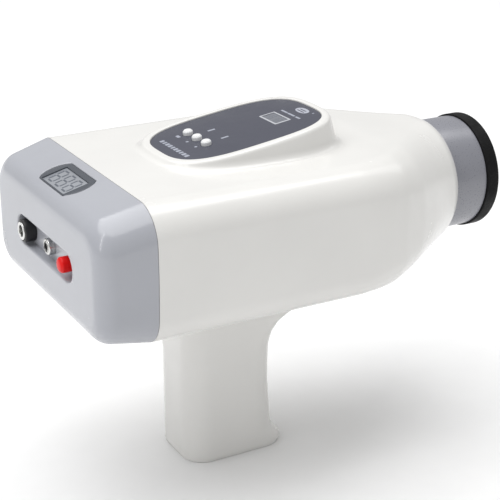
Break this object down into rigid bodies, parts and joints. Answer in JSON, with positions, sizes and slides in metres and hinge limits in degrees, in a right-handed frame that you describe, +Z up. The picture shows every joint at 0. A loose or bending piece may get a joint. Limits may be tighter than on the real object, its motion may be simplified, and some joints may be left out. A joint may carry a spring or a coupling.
{
  "type": "intraoral xray unit",
  "caption": "Hand-held battery x-ray head with a pistol grip, round beam cone, sloped membrane panel on top and rear cover with sockets and power button.",
  "frame": {"origin": "centre of the grip's flat foot", "axes": "+X along the beam, out of the cone; +Y to the unit's left; +Z up"},
  "size_m": [0.2578, 0.148, 0.1843],
  "materials": {
    "aluminium": "machined",
    "black_plastic": "matt black",
    "black_rubber": "textured black",
    "capacitor_blue": "dipped ceramic",
    "cell_wrap": "shrink wrap",
    "ceramic_core": "sintered ferrite",
    "circuit_board": "solder mask",
    "clear_window": "clear",
    "copper": "bare copper",
    "dark_frame": "dark gloss",
    "dark_grey_plastic": "moulded dark grey",
    "dark_liner": "lead-lined, dull",
    "display": "liquid crystal display",
    "grey_cone": "satin grey",
    "grey_cover": "satin gloss, blue-grey",
    "grey_plastic": "moulded grey",
    "lead": "dull lead",
    "nickel": "bright nickel plate",
    "red_button": "gloss red",
    "slate_overlay": "matt membrane, slate",
    "spring_steel": "spring steel",
    "steel": "brushed",
    "tube_glass": "clear",
    "white_button": "gloss white",
    "white_shell": "smooth gloss, off-white",
    "winding": "taped winding",
    "wire_sleeve": "soft sleeve"
  },
  "bodies": {
    "unit": {"aluminium_filter": "aluminium", "battery_cells": "cell_wrap", "battery_strips": "steel", "battery_tray": "grey_plastic", "beam_tube": "aluminium", "board_screws": "steel", "board_spacers": "steel", "buzzer": "black_plastic", "charge_board": "circuit_board", "charge_socket_body": "black_plastic", "charge_socket_nut": "black_plastic", "charge_socket_pin": "nickel", "charge_socket_sleeve": "nickel", "cone": "grey_cone", "cone_end_ring": "black_rubber", "cone_liner": "dark_liner", "cone_lock_ring": "grey_plastic", "cover_screws": "steel", "display_window": "clear_window", "exposure_display": "display", "filter_holder": "black_plastic", "grip_base_plate": "white_shell", "grip_base_screws": "steel", "grip_housing": "white_shell", "handswitch_jack": "nickel", "handswitch_jack_nut": "nickel", "heat_sink": "aluminium", "keypad_board": "circuit_board", "keypad_switches": "black_plastic", "lead_diaphragm": "lead", "main_housing": "white_shell", "meter_display": "display", "meter_frame": "dark_frame", "multiplier_board": "circuit_board", "multiplier_capacitors": "capacitor_blue", "panel_overlay": "slate_overlay", "power_board": "circuit_board", "power_button_spring": "spring_steel", "power_capacitors": "cell_wrap", "power_switch": "black_plastic", "rear_cover": "grey_cover", "tank_body": "aluminium", "tank_lid": "aluminium", "tank_lid_screws": "steel", "tank_pads": "black_rubber", "tank_window": "grey_plastic", "transformer_core": "ceramic_core", "transformer_winding": "winding", "trigger_spring": "spring_steel", "trigger_switch": "black_plastic", "tube_anode": "copper", "tube_cathode": "steel", "tube_clamps": "grey_plastic", "tube_glass": "tube_glass", "wiring": "wire_sleeve"},
    "panel_button_left": {"panel_button_left": "white_button"},
    "panel_button_middle": {"panel_button_middle": "white_button"},
    "panel_button_right": {"panel_button_right": "white_button"},
    "power_button": {"power_button": "red_button"},
    "trigger_button": {"trigger_button": "dark_grey_plastic"}
  },
  "joints": [
    {"name": "panel_button_left_press", "type": "slide", "parent": "unit", "child": "panel_button_left", "axis": [0.1409, 0, -0.99], "range_m": [0, 0.0007], "stiffness_N_per_m": 900, "springref_m": -0.0003},
    {"name": "panel_button_middle_press", "type": "slide", "parent": "unit", "child": "panel_button_middle", "axis": [0.1409, 0, -0.99], "range_m": [0, 0.0007], "stiffness_N_per_m": 900, "springref_m": -0.0003},
    {"name": "panel_button_right_press", "type": "slide", "parent": "unit", "child": "panel_button_right", "axis": [0.1409, 0, -0.99], "range_m": [0, 0.0007], "stiffness_N_per_m": 900, "springref_m": -0.0003},
    {"name": "power_button_press", "type": "slide", "parent": "unit", "child": "power_button", "axis": [1, 0, 0], "range_m": [0, 0.0012], "stiffness_N_per_m": 700, "springref_m": -0.0004},
    {"name": "trigger_press", "type": "slide", "parent": "unit", "child": "trigger_button", "axis": [-1, 0, 0], "range_m": [0, 0.0018], "stiffness_N_per_m": 800, "springref_m": -0.0006}
  ]
}
